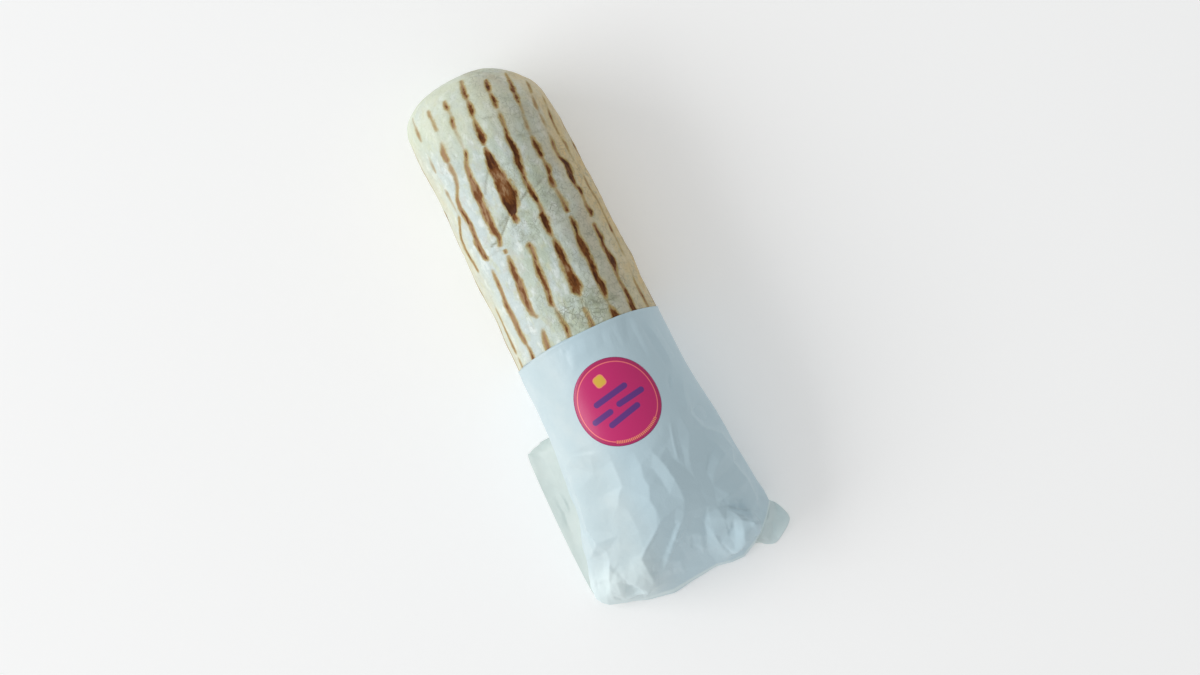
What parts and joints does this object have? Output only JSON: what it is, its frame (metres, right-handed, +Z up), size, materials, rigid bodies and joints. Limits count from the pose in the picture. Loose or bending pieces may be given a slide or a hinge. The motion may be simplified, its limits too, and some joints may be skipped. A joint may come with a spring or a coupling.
{
  "type": "shawarma wrap",
  "caption": "Grilled flatbread wrap, closed at one end, lying in a crumpled white paper bag that is folded under at the other end and carries a round sticker.",
  "frame": {"origin": "the middle of the part's bounding box in plan, on the surface that the wrap lies on", "axes": "+X runs along the wrap from the closed bread end to the folded end of the bag, +Y across it, +Z up from the table"},
  "size_m": [0.2315, 0.0886, 0.0594],
  "materials": {
    "flatbread": null,
    "paper": "thin cool-white greaseproof paper, crumpled, faint sheen",
    "label": "glossy printed magenta sticker with plain shapes in orange, yellow and violet"
  },
  "bodies": {
    "root": {"flatbread_roll": "flatbread", "paper_bag": "paper", "round_sticker": "label"}
  },
  "joints": []
}
